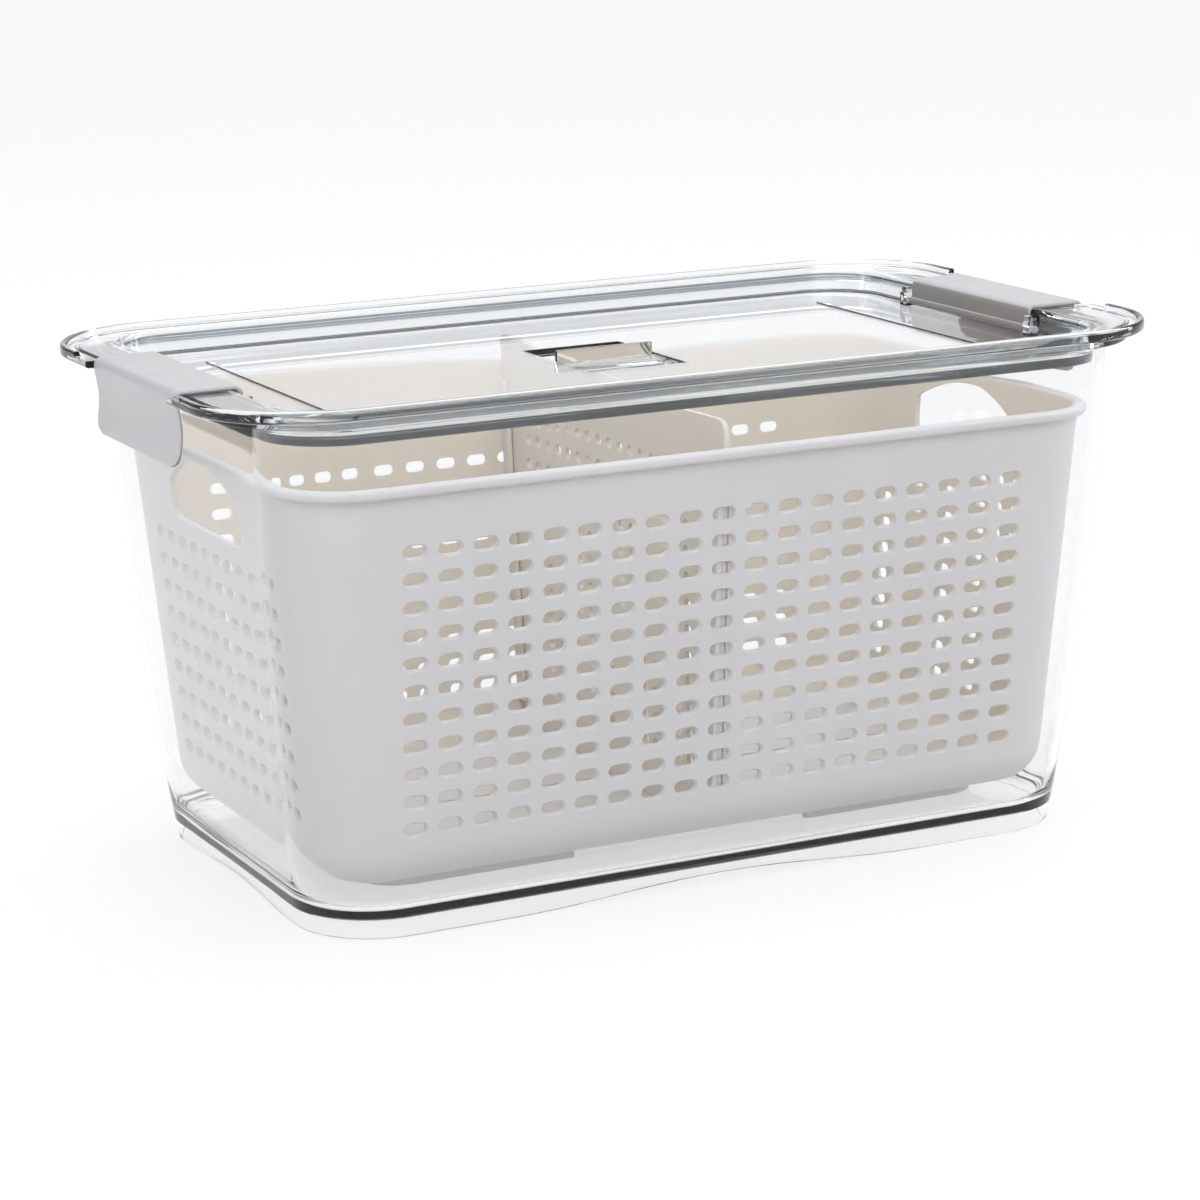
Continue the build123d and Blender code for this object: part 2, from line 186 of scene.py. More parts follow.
class Skin:
    """A closed mesh drawn by its points; equal points share a vertex."""

    def __init__(self):
        self.mesh = bmesh.new()
        self.known = {}

    def vertex(self, point):
        key = tuple(round(value, 3) for value in point)
        if key not in self.known:
            self.known[key] = self.mesh.verts.new(Vector(point) * MM)
        return self.known[key]

    def face(self, points):
        corners = []
        for point in points:
            corner = self.vertex(point)
            if corner not in corners:
                corners.append(corner)
        if len(corners) > 2:
            try:
                self.mesh.faces.new(corners)
            except ValueError:
                pass

    def band(self, low, high, closed=True, skip=()):
        """Quads between two loops of as many points."""
        count = len(low)
        for index in range(count if closed else count - 1):
            if index in skip:
                continue
            after = (index + 1) % count
            self.face([low[index], low[after], high[after], high[index]])

    def finish(self, name, material, angle=32):
        bmesh.ops.recalc_face_normals(self.mesh, faces=self.mesh.faces)
        data = bpy.data.meshes.new(name)
        self.mesh.to_mesh(data)
        self.mesh.free()
        return make_object(name, data, material, angle)


def placed(name, data):
    """A new object in the scene."""
    item = bpy.data.objects.new(name, data)
    bpy.context.collection.objects.link(item)
    return item


def make_object(name, data, material, angle=32):
    piece = placed(name, data)
    data.materials.append(material)
    smooth(data, angle)
    return piece


def smooth(data, angle):
    """Smooth shading between sharp edges; broad level faces stay flat, so that they mirror truly."""
    for face in data.polygons:
        face.use_smooth = abs(face.normal.z) < LEVEL or face.area < BROAD_AREA
    data.set_sharp_from_angle(angle=radians(angle))


def rounded_loop(half_x, half_y, radius, height, corner_steps=14, flat_steps=1):
    """Points round a rounded rectangle; height is a number, or a function of x and y."""
    points = []
    corners = ((1, 1, 0), (-1, 1, 90), (-1, -1, 180), (1, -1, 270))
    for sign_x, sign_y, start in corners:
        centre_x = sign_x * (half_x - radius)
        centre_y = sign_y * (half_y - radius)
        for step in range(corner_steps + 1):
            angle = radians(start + 90 * step / corner_steps)
            points.append((centre_x + radius * cos(angle), centre_y + radius * sin(angle)))
    loop = []
    size = corner_steps + 1
    for index, point in enumerate(points):
        loop.append(point)
        if index % size == size - 1:
            after = points[(index + 1) % len(points)]
            for step in range(1, flat_steps):
                share = step / flat_steps
                loop.append(tuple(a + (b - a) * share for a, b in zip(point, after)))
    if callable(height):
        return [(x, y, height(x, y)) for x, y in loop]
    return [(x, y, height) for x, y in loop]


def arc(centre, radius, start, end, steps=5):
    """Points of an arc in a profile of (offset, height)."""
    points = []
    for step in range(steps + 1):
        angle = radians(start + (end - start) * step / steps)
        points.append((centre[0] + radius * cos(angle), centre[1] + radius * sin(angle)))
    return points


def bin_half(z):
    """Half length and half width of the bin's outside at a height."""
    share = (z - FLOOR_TOP) / (BIN_TOP - FLOOR_TOP)
    growth = share + BIN_BULGE * share * (1 - share)
    return [(low + (high - low) * growth) / 2 for low, high in zip(BIN_FLOOR_SIZE, BIN_TOP_SIZE)]


def basket_half(z):
    low = bin_half(BASKET_FLOOR)
    high = bin_half(BASKET_TOP)
    share = (z - BASKET_FLOOR) / (BASKET_TOP - BASKET_FLOOR)
    return [a + (b - a) * share - inset for a, b, inset in zip(low, high, BASKET_INSETS)]


# Materials

def new_material(name):
    material = bpy.data.materials.new(name)
    material.use_nodes = True
    nodes = material.node_tree.nodes
    return material, nodes, material.node_tree.links, nodes["Principled BSDF"]


def noise(nodes, links, scale, detail=3.0):
    """Noise on the object's own coordinates."""
    place = nodes.new("ShaderNodeTexCoord")
    texture = nodes.new("ShaderNodeTexNoise")
    texture.inputs["Scale"].default_value = scale
    texture.inputs["Detail"].default_value = detail
    links.new(place.outputs["Object"], texture.inputs["Vector"])
    return texture


def bump(nodes, links, shader, texture, strength, distance):
    relief = nodes.new("ShaderNodeBump")
    relief.inputs["Strength"].default_value = strength
    relief.inputs["Distance"].default_value = distance
    links.new(texture.outputs["Fac"], relief.inputs["Height"])
    links.new(relief.outputs["Normal"], shader.inputs["Normal"])


def ramp(nodes, links, source, low, high, start=0.3, end=0.7):
    blend = nodes.new("ShaderNodeValToRGB")
    blend.color_ramp.elements[0].position = start
    blend.color_ramp.elements[0].color = low
    blend.color_ramp.elements[1].position = end
    blend.color_ramp.elements[1].color = high
    links.new(source.outputs["Fac"], blend.inputs["Fac"])
    return blend


def between(nodes, links, source, low, high, soft):
    """1 where a value lies between two limits, with soft ends."""
    ends = []
    for limit, sign in ((low, 1), (high, -1)):
        step = nodes.new("ShaderNodeMapRange")
        step.interpolation_type = "SMOOTHSTEP"
        step.inputs["From Min"].default_value = limit - soft
        step.inputs["From Max"].default_value = limit + soft
        step.inputs["To Min"].default_value = 0.0 if sign > 0 else 1.0
        step.inputs["To Max"].default_value = 1.0 if sign > 0 else 0.0
        links.new(source, step.inputs["Value"])
        ends.append(step.outputs["Result"])
    return combined(nodes, links, "MULTIPLY", *ends)


def combined(nodes, links, operation, first, second):
    node = nodes.new("ShaderNodeMath")
    node.operation = operation
    links.new(first, node.inputs[0])
    if isinstance(second, float):
        node.inputs[1].default_value = second
    else:
        links.new(second, node.inputs[1])
    return node.outputs[0]


def direction_share(nodes, links, source, direction):
    """How far a vector points along a direction, as a socket."""
    node = nodes.new("ShaderNodeVectorMath")
    node.operation = "DOT_PRODUCT"
    node.inputs[1].default_value = direction
    links.new(source, node.inputs[0])
    return node.outputs["Value"]


def mixed(nodes, links, share, first, second):
    """Output socket of a mix of two shaders."""
    node = nodes.new("ShaderNodeMixShader")
    links.new(share, node.inputs["Fac"])
    links.new(first, node.inputs[1])
    links.new(second, node.inputs[2])
    return node.outputs["Shader"]


def seeing_rays(path):
    """Sockets that are 1 for rays from the camera, a gloss and a glass."""
    return [path.outputs[f"Is {kind} Ray"] for kind in ("Camera", "Glossy", "Transmission")]


def clear_plastic(name, painted_edge_bands):
    """Polished clear plastic with painted edge shade: its upright faces take a dark colour within
    given heights, standing in for the dark surroundings refracted in the edges.

    Each band is its low and high end in millimetres and the colour of its painted edge shade.
    """
    material, nodes, links, shader = new_material(name)
    shader.inputs["Transmission Weight"].default_value = 1.0
    shader.inputs["IOR"].default_value = 1.49
    waves = noise(nodes, links, 9.0, 1.0)
    bump(nodes, links, shader, waves, 0.02, 0.002)
    streaks = noise(nodes, links, 60.0, 2.0)
    polish = ramp(nodes, links, streaks, (0.0, 0.0, 0.0, 1.0), (0.03, 0.03, 0.03, 1.0))
    links.new(polish.outputs["Color"], shader.inputs["Roughness"])
    place = nodes.new("ShaderNodeTexCoord")
    spot = nodes.new("ShaderNodeSeparateXYZ")
    links.new(place.outputs["Object"], spot.inputs["Vector"])
    facing = nodes.new("ShaderNodeSeparateXYZ")
    links.new(place.outputs["Normal"], facing.inputs["Vector"])
    upright = between(nodes, links, facing.outputs["Z"], -0.5, 0.5, 0.2)
    tint_and_edge_shade = CLEAR_TINT
    # Painted edge shade: each band darkens the upright faces within its heights, in place of the dark
    # surroundings the edges would refract
    for low, high, edge_shade in painted_edge_bands:
        height = between(nodes, links, spot.outputs["Z"], low * MM, high * MM, 0.25 * MM)
        edge_shade_mask = combined(nodes, links, "MULTIPLY", height, upright)
        blend = nodes.new("ShaderNodeMix")
        blend.data_type = "RGBA"
        if isinstance(tint_and_edge_shade, tuple):
            blend.inputs["A"].default_value = tint_and_edge_shade
        else:
            links.new(tint_and_edge_shade, blend.inputs["A"])
        blend.inputs["B"].default_value = edge_shade
        links.new(edge_shade_mask, blend.inputs["Factor"])
        tint_and_edge_shade = blend.outputs["Result"]
    if painted_edge_bands:
        links.new(tint_and_edge_shade, shader.inputs["Base Color"])
    else:
        shader.inputs["Base Color"].default_value = CLEAR_TINT
    # Light passes through to what stands inside
    path = nodes.new("ShaderNodeLightPath")
    through = nodes.new("ShaderNodeBsdfTransparent")
    through.inputs["Color"].default_value = LAMP_TINT
    lamp_ray = path.outputs["Is Shadow Ray"]
    either = mixed(nodes, links, lamp_ray, shader.outputs["BSDF"], through.outputs["BSDF"])
    links.new(either, nodes["Material Output"].inputs["Surface"])
    return material


def satin_plastic(name, outside, inside, roughness):
    """Opaque moulded plastic with a fine satin grain; faces turned inwards take a second colour as
    painted light: warm bounce light inside the basket, shade in the clips' recess.
    """
    material, nodes, links, shader = new_material(name)
    # Painted light: faces turned towards the middle take the inward colour, in place of the bounce
    # light and shade they get there
    place = nodes.new("ShaderNodeTexCoord")
    outward = nodes.new("ShaderNodeVectorMath")
    outward.operation = "DOT_PRODUCT"
    links.new(place.outputs["Object"], outward.inputs[0])
    links.new(place.outputs["Normal"], outward.inputs[1])
    side = nodes.new("ShaderNodeMapRange")
    side.inputs["From Min"].default_value = -0.02
    side.inputs["From Max"].default_value = 0.02
    links.new(outward.outputs["Value"], side.inputs["Value"])
    drift = noise(nodes, links, 14.0, 2.0)
    shades = []
    for shade in (inside, outside):
        pale = tuple(min(1.0, value * 1.04) for value in shade[:3]) + (1.0,)
        shades.append(ramp(nodes, links, drift, shade, pale))
    blend = nodes.new("ShaderNodeMix")
    blend.data_type = "RGBA"
    links.new(side.outputs["Result"], blend.inputs["Factor"])
    links.new(shades[0].outputs["Color"], blend.inputs["A"])
    links.new(shades[1].outputs["Color"], blend.inputs["B"])
    links.new(blend.outputs["Result"], shader.inputs["Base Color"])
    patches = noise(nodes, links, 90.0, 3.0)
    rough = (roughness - 0.05,) * 3 + (1.0,)
    rougher = (roughness + 0.05,) * 3 + (1.0,)
    finish = ramp(nodes, links, patches, rough, rougher)
    links.new(finish.outputs["Color"], shader.inputs["Roughness"])
    grains = noise(nodes, links, 2600.0, 2.0)
    bump(nodes, links, shader, grains, 0.12, 0.0001)
    shader.inputs["Specular IOR Level"].default_value = 0.45
    shader.inputs["Subsurface Weight"].default_value = 0.12
    shader.inputs["Subsurface Radius"].default_value = (1.0, 0.9, 0.8)
    shader.inputs["Subsurface Scale"].default_value = 0.002
    return material


CLEAR_TINT = (0.97, 0.975, 0.98, 1.0)
LAMP_TINT = (0.95, 0.955, 0.96, 1.0)
# Painted edge shade for the clear plastic: dark colours in place of the dark surroundings refracted
# in its edges
PAINTED_EDGE_SHADE_DEEP = (0.02, 0.028, 0.034, 1.0)
PAINTED_EDGE_SHADE_PALE = (0.35, 0.39, 0.42, 1.0)
PAINTED_EDGE_SHADE_RIM = (0.10, 0.12, 0.135, 1.0)
BASKET_OUTSIDE = (0.66, 0.645, 0.655, 1)
# Painted warm bounce light on the basket's inward faces
BASKET_INSIDE_PAINTED_BOUNCE = (0.72, 0.65, 0.565, 1)
# Painted warm bounce light: the divider inside the basket takes the warm inward tone all over
DIVIDER_PAINTED_BOUNCE = (0.70, 0.65, 0.58, 1)
CLIP_OUTSIDE = (0.44, 0.435, 0.448, 1)
# Painted shade on the clips' inward faces, down in the lid's recess
CLIP_INSIDE_PAINTED_SHADE = (0.245, 0.232, 0.22, 1)
# Painted edge shade at the bin's floor and flange, and at the lid's panel, just above it and at its
# flange's foot
bin_clear = clear_plastic("bin_clear", (
    (FLOOR_TOP - FLOOR_THICK, FLOOR_TOP, PAINTED_EDGE_SHADE_DEEP),
    (BIN_TOP - FLANGE_THICK, BIN_TOP, PAINTED_EDGE_SHADE_PALE),
))
lid_clear = clear_plastic("lid_clear", (
    (PANEL_TOP - PANEL_THICK, PANEL_TOP, PAINTED_EDGE_SHADE_DEEP),
    (PANEL_TOP, PANEL_TOP + 0.7, PAINTED_EDGE_SHADE_DEEP),
    (LID_FLANGE_BOTTOM, LID_FLANGE_BOTTOM + 0.9, PAINTED_EDGE_SHADE_RIM),
))
slider_clear = clear_plastic("slider_clear", ())
basket_grey = satin_plastic("basket_grey", BASKET_OUTSIDE, BASKET_INSIDE_PAINTED_BOUNCE, 0.42)
divider_grey = satin_plastic("divider_grey", DIVIDER_PAINTED_BOUNCE, DIVIDER_PAINTED_BOUNCE, 0.42)
clip_grey = satin_plastic("clip_grey", CLIP_OUTSIDE, CLIP_INSIDE_PAINTED_SHADE, 0.38)


def base_lift(x, y):
    """How far the arched skirt stands off the ground at a place on its edge."""
    half_x, half_y = bin_half(0)
    lift = 0.0
    if abs(y) > half_y - BIN_CORNER / 2 and abs(x) < ARCH_LENGTHS[0] / 2:
        lift = ARCH_RISES[0] * (1 + cos(2 * pi * x / ARCH_LENGTHS[0])) / 2
    if abs(x) > half_x - BIN_CORNER / 2 and abs(y) < ARCH_LENGTHS[1] / 2:
        lift = ARCH_RISES[1] * (1 + cos(2 * pi * y / ARCH_LENGTHS[1])) / 2
    return lift


def bin_loop(z, inset, radius=None, level=None):
    """Loop round the bin at a height, inset from its outside; the skirt's arches fade upwards."""
    half_x, half_y = bin_half(z)
    share = (z - FLOOR_TOP) / (BIN_TOP - FLOOR_TOP)
    corner = BIN_CORNER + (1 - share) - inset if radius is None else radius
    fade = max(0.0, 1 - z / FLOOR_TOP)
    height = z if level is None else level
    return rounded_loop(
        half_x - inset, half_y - inset, corner,
        lambda x, y: height + fade * base_lift(x, y), 16, 30,
    )


def make_bin():
    """Shell with a raised floor, an arched skirt below it and a flange round its mouth."""
    skin = Skin()
    floor_bottom = FLOOR_TOP - FLOOR_THICK
    loops = [bin_loop(floor_bottom, BIN_WALL + BIN_EDGE)]
    loops.append(bin_loop(floor_bottom - BIN_EDGE, BIN_WALL))
    loops.append(bin_loop(BIN_EDGE, BIN_WALL))
    for angle in (30, 60, 90, 120, 150):
        offset = BIN_WALL / 2 * (1 - cos(radians(180 - angle)))
        loops.append(bin_loop(SLIGHT, offset, None, BIN_EDGE * (1 - sin(radians(angle)))))
    loops.append(bin_loop(BIN_EDGE, 0.0))
    flange_bottom = BIN_TOP - FLANGE_THICK
    steps = 22
    for step in range(1, steps + 1):
        loops.append(bin_loop(BIN_EDGE + (flange_bottom - 1.5 - BIN_EDGE) * step / steps, 0.0))
    top_x, top_y = bin_half(BIN_TOP)
    grow_x = BIN_FLANGE_HALF[0] - top_x
    grow_y = BIN_FLANGE_HALF[1] - top_y
    flange_radius = LID_CORNER - (LID_HALF[0] - BIN_FLANGE_HALF[0]) + BIN_WALL

    def flange_loop(share, z):
        radius = BIN_CORNER + (flange_radius - BIN_CORNER) * share
        return rounded_loop(top_x + grow_x * share, top_y + grow_y * share, radius, z, 16, 30)

    loops.append(flange_loop(0.03, flange_bottom - 0.4))
    loops.append(flange_loop(0.12, flange_bottom))
    edge = BIN_FLANGE_EDGE
    for offset, z in arc((-edge, flange_bottom + edge), edge, -90, 0, 4):
        loops.append(flange_loop(1 + offset / grow_x, z))
    for offset, z in arc((-edge, BIN_TOP - edge), edge, 0, 90, 4):
        loops.append(flange_loop(1 + offset / grow_x, z))
    mouth = BIN_MOUTH_EDGE
    for offset, z in arc((BIN_WALL - mouth, BIN_TOP - mouth), mouth, 90, 0, 4):
        loops.append(bin_loop(BIN_TOP, offset, None, z))
    for step in range(1, steps + 1):
        z = BIN_TOP - mouth + (FLOOR_TOP + BIN_FILLET - BIN_TOP + mouth) * step / steps
        loops.append(bin_loop(z, BIN_WALL))
    for angle in (22.5, 45, 67.5, 90):
        inset = BIN_WALL + BIN_FILLET * (1 - cos(radians(angle)))
        z = FLOOR_TOP + BIN_FILLET * (1 - sin(radians(angle)))
        loops.append(bin_loop(z + SLIGHT, inset))
    for low, high in zip(loops, loops[1:]):
        skin.band(low, high)
    skin.face(loops[0])
    skin.face(loops[-1])
    return skin.finish("clear_bin", bin_clear)


def block(mesh, low, high):
    """Add a box, in millimetres, to a mesh being built."""
    points = []
    for x in (low[0], high[0]):
        for y in (low[1], high[1]):
            for z in (low[2], high[2]):
                points.append(mesh.verts.new(Vector((x, y, z)) * MM))
    for side in ((0, 1, 3, 2), (4, 6, 7, 5), (0, 4, 5, 1), (2, 3, 7, 6), (0, 2, 6, 4), (1, 5, 7, 3)):
        mesh.faces.new([points[index] for index in side])


def rod(mesh, x, z, low_y, high_y, radius, sides=20):
    """Add a round rod along Y to a mesh being built."""
    ends = []
    for y in (low_y, high_y):
        ring = []
        for k in range(sides):
            turn = 2 * pi * k / sides
            point = Vector((x + radius * cos(turn), y, z + radius * sin(turn)))
            ring.append(mesh.verts.new(point * MM))
        ends.append(ring)
    for k in range(sides):
        after = (k + 1) % sides
        mesh.faces.new([ends[0][k], ends[0][after], ends[1][after], ends[1][k]])
    mesh.faces.new(ends[0][::-1])
    mesh.faces.new(ends[1])


def keep_modifiers(piece):
    """Write what the piece's modifiers make of its mesh into the mesh, and drop them."""
    bpy.context.view_layer.update()
    graph = bpy.context.evaluated_depsgraph_get()
    data = bpy.data.meshes.new_from_object(piece.evaluated_get(graph))
    piece.modifiers.clear()
    old = piece.data
    piece.data = data
    bpy.data.meshes.remove(old)


def combine(piece, name, mesh, operation):
    """Add a mesh to a piece or cut it away; a tool whose own boxes overlap counts as one solid."""
    bmesh.ops.recalc_face_normals(mesh, faces=mesh.faces)
    data = bpy.data.meshes.new(name)
    mesh.to_mesh(data)
    mesh.free()
    tool = placed(name, data)
    modifier = piece.modifiers.new(name, "BOOLEAN")
    modifier.operation = operation
    modifier.solver = "EXACT"
    modifier.use_self = True
    modifier.object = tool
    keep_modifiers(piece)
    bpy.data.objects.remove(tool)
    bpy.data.meshes.remove(data)


def soften(piece, width, segments=2, angle=40):
    """Round the sharp edges."""
    modifier = piece.modifiers.new("soften", "BEVEL")
    modifier.width = width * MM
    modifier.segments = segments
    modifier.limit_method = "ANGLE"
    modifier.angle_limit = radians(angle)
    modifier.harden_normals = False
    keep_modifiers(piece)


def lid_shell():
    """Flange, bead, ridge lines, recess and plug as one profile carried round the lid."""

    def rim(inset, z):
        return rounded_loop(LID_HALF[0] - inset, LID_HALF[1] - inset, LID_CORNER - inset, z, 18)

    def plug(inset, z):
        return rounded_loop(PLUG_HALF[0] - inset, PLUG_HALF[1] - inset, PLUG_RADIUS - inset, z, 18)

    skin = Skin()
    loops = [plug(PLUG_EDGE, PANEL_BOTTOM)]
    low = PANEL_BOTTOM + PLUG_EDGE
    for offset, z in arc((-PLUG_EDGE, low), PLUG_EDGE, -67, 0, 3):
        loops.append(plug(-offset, z))
    for share in (0.33, 0.66, 1.0):
        z = PANEL_BOTTOM + PLUG_EDGE + (LID_FLANGE_BOTTOM - 0.5 - PANEL_BOTTOM - PLUG_EDGE) * share
        loops.append(plug(-PLUG_DRAFT * share, z))
    loops.append(plug(-PLUG_DRAFT - 0.5, LID_FLANGE_BOTTOM))
    loops.append(rim(8.0, LID_FLANGE_BOTTOM))
    for offset, z in arc((-LID_EDGE, LID_FLANGE_BOTTOM + LID_EDGE), LID_EDGE, -90, 0, 5):
        loops.append(rim(-offset, z))
    bead = BEAD_WIDTH / 2
    for offset, z in arc((-bead, LID_TOP - bead), bead, 0, 180, 8):
        loops.append(rim(-offset, z))
    loops.append(rim(BEAD_WIDTH + 0.1, LID_FLANGE_TOP + 0.2))
    loops.append(rim(BEAD_WIDTH + 0.5, LID_FLANGE_TOP))
    for line in RIDGE_LINES:
        loops.append(rim(line - RIDGE_HEIGHT, LID_FLANGE_TOP))
        loops.append(rim(line, LID_FLANGE_TOP + RIDGE_HEIGHT))
        loops.append(rim(line + RIDGE_HEIGHT, LID_FLANGE_TOP))
    inner_draft = PLUG_DRAFT * (LID_FLANGE_TOP - PANEL_TOP) / (LID_TOP - PANEL_TOP)
    for offset, z in arc((SHOULDER, LID_FLANGE_TOP - SHOULDER), SHOULDER, 90, 180, 6):
        loops.append(plug(LID_WALL - inner_draft - offset, z))
    for share in (0.5, 1.0):
        z = LID_FLANGE_TOP - SHOULDER + (PANEL_TOP + PANEL_FILLET - LID_FLANGE_TOP + SHOULDER) * share
        loops.append(plug(LID_WALL - inner_draft * (1 - share), z))
    for offset, z in arc((-PANEL_FILLET, PANEL_TOP + PANEL_FILLET), PANEL_FILLET, -18, -90, 4):
        loops.append(plug(LID_WALL - offset, z))
    for low, high in zip(loops, loops[1:]):
        skin.band(low, high)
    skin.face(loops[0])
    skin.face(loops[-1])
    return skin.finish("clear_lid", lid_clear)


def side_block(mesh, side, span_x, span_y, span_z):
    """Add a box that is given for the right-hand side, mirrored where side is -1."""
    low_x, high_x = sorted((side * span_x[0], side * span_x[1]))
    block(mesh, (low_x, span_y[0], span_z[0]), (high_x, span_y[1], span_z[1]))


def make_lid():
    """Lid shell with its clip pockets, hinge ears, step lines and vent worked in, in that order."""
    lid = lid_shell()
    pocket_y = (-POCKET_HALF, POCKET_HALF)

    # Thicker wall behind each clip
    boss_half = CLIP_WIDTH / 2 + EAR_THICK
    bosses = bmesh.new()
    for side in (-1, 1):
        side_block(
            bosses, side,
            (PLUG_HALF[0] - LID_WALL - BOSS_DEPTH, POCKET_X + LID_WALL / 2),
            (-boss_half, boss_half),
            (PANEL_BOTTOM, LID_FLANGE_BOTTOM + JOIN),
        )
    combine(lid, "bosses", bosses, "UNION")

    # Pocket for the clip's wall, seat for its top, notch for its flap, and the lowered bead
    pockets = bmesh.new()
    block(pockets, (-POCKET_X, -POCKET_HALF, PANEL_TOP), (POCKET_X, POCKET_HALF, LID_TOP + PAST + 1))
    clip_seat = CLIP_TOP - CLIP_THICK - SEAT_GAP
    for side in (-1, 1):
        side_block(
            pockets, side,
            (POCKET_X - 1, LID_HALF[0] + PAST), pocket_y, (clip_seat, LID_TOP + PAST),
        )
    combine(lid, "pockets", pockets, "DIFFERENCE")
    notches = bmesh.new()
    for side in (-1, 1):
        side_block(
            notches, side,
            (LID_HALF[0] - NOTCH_DEPTH, LID_HALF[0] + PAST), pocket_y,
            (LID_FLANGE_BOTTOM - 1, LID_TOP + PAST + 2),
        )
    combine(lid, "notches", notches, "DIFFERENCE")
    steps = bmesh.new()
    for side in (-1, 1):
        side_block(
            steps, side,
            (LID_HALF[0] - BEAD_WIDTH - 0.6, LID_HALF[0] + 1), (-NOTCH_WIDTH / 2, NOTCH_WIDTH / 2),
            (LID_FLANGE_TOP, LID_TOP + PAST + 3),
        )
    combine(lid, "steps", steps, "DIFFERENCE")

    # Hinge ears, and the two step lines of the panel
    ears = bmesh.new()
    ear_top = HINGE_Z + TRUNNION_RADIUS + EAR_MARGIN
    ear_low_x = HINGE_X - TRUNNION_RADIUS - EAR_MARGIN
    line = PANEL_STEP_SIZE[1] / 2
    for side in (-1, 1):
        for end in (-1, 1):
            ear_y = sorted((end * POCKET_HALF, end * (POCKET_HALF + EAR_THICK)))
            side_block(ears, side, (ear_low_x, POCKET_X + 0.6), ear_y, (PANEL_TOP - JOIN, ear_top))
        low = side * PANEL_STEP_X - PANEL_STEP_SIZE[0] / 2
        high = (low + PANEL_STEP_SIZE[0], line, PANEL_TOP + PANEL_STEP_HEIGHT)
        block(ears, (low, -line, PANEL_TOP - 0.4), high)
    combine(lid, "ears", ears, "UNION")

    # Bores for the clips' studs, and the slider's track with its open top and the vent below
    bores = bmesh.new()
    bore_half = CLIP_WIDTH / 2 + TRUNNION_LENGTH + CLIP_GAP
    for side in (-1, 1):
        rod(bores, side * HINGE_X, HINGE_Z, -bore_half, bore_half, TRUNNION_RADIUS + BORE_GAP)
    half_x, half_y = VENT_SIZE[0] / 2, VENT_SIZE[1] / 2
    block(bores, (-half_x, -half_y, TRACK_FLOOR), (half_x, half_y, TRACK_FLOOR + TRACK_HEIGHT))
    combine(lid, "bores", bores, "DIFFERENCE")
    vent = bmesh.new()
    inner_x = half_x - VENT_LIP
    block(vent, (-inner_x, -half_y, TRACK_FLOOR), (inner_x, half_y, PANEL_TOP + PAST))
    combine(lid, "vent", vent, "DIFFERENCE")
    opening = bmesh.new()
    high_y = half_y - VENT_LIP
    low_y = high_y - VENT_OPENING_WIDTH
    block(opening, (-inner_x, low_y, PANEL_BOTTOM - 1), (inner_x, high_y, TRACK_FLOOR + JOIN))
    combine(lid, "opening", opening, "DIFFERENCE")
    smooth(lid.data, 30)
    return lid


def make_slider():
    """Vent plate with an upright grip that is a little narrower, both extruded along X."""
    skin = Skin()
    half_x = VENT_SIZE[0] / 2 - SLIDER_GAP
    grip_half = VENT_SIZE[0] / 2 - VENT_LIP - 2 * SLIDER_GAP
    low = TRACK_FLOOR + SLIDER_GAP
    high = low + SLIDER_THICK
    near = -VENT_SIZE[1] / 2 + SLIDER_GAP
    far = near + VENT_SIZE[1] / 2 + GRIP_THICK / 2
    back = far - GRIP_THICK
    top = PANEL_TOP + GRIP_HEIGHT
    plate = [(near, low), (far, low), (far, high), (back, high), (near, high)]
    ends = [[(x, y, z) for y, z in plate] for x in (-half_x, half_x)]
    inner = [[(x, y, z) for y, z in plate] for x in (-grip_half, grip_half)]
    skin.band(ends[0], inner[0])
    skin.band(inner[1], ends[1])
    # The plate's edge under the grip stays open between the grip's two ends
    for index in (0, 1, 3, 4):
        after = (index + 1) % 5
        skin.face([inner[0][index], inner[0][after], inner[1][after], inner[1][index]])
    outline = ((far, high), (far, top), (back, top), (back, high))
    grip = [[(x, y, z) for y, z in outline] for x in (-grip_half, grip_half)]
    skin.band(grip[0], grip[1], closed=False)
    skin.face(ends[0])
    skin.face(ends[1])
    for side in (0, 1):
        skin.face(grip[side])
    slider = skin.finish("clear_slider", slider_clear)
    soften(slider, SLIDER_EDGE)
    smooth(slider.data, 35)
    return slider


def clip_path():
    """Middle line of the clip's section, as (x, z) points from the hinge to the lip."""
    plate_z = CLIP_TOP - CLIP_THICK / 2
    half = CLIP_THICK / 2
    top_x = CLIP_OUTER_X - half
    radius = CLIP_RADIUS
    points = [(HINGE_X, HINGE_Z + (plate_z - radius - HINGE_Z) * k / 3) for k in range(4)]
    points += arc((HINGE_X + radius, plate_z - radius), radius, 180, 90, 6)[1:]
    flat = (HINGE_X + radius, top_x - radius)
    points += [(flat[0] + (flat[1] - flat[0]) * k / 4, plate_z) for k in range(1, 5)]
    points += arc((top_x - radius, plate_z - radius), radius, 90, 0, 6)[1:]
    low = CLIP_BOTTOM
    high = plate_z - radius
    waist = CLIP_OUTER_X - CLIP_WAIST[0]
    for k in range(1, 15):
        share = k / 14
        z = high + (low - high) * share
        pinch = sin(pi * min(1.0, share * 1.05)) ** 1.5 if share < 0.952 else 0.0
        points.append((top_x - waist * pinch, z))
    return points


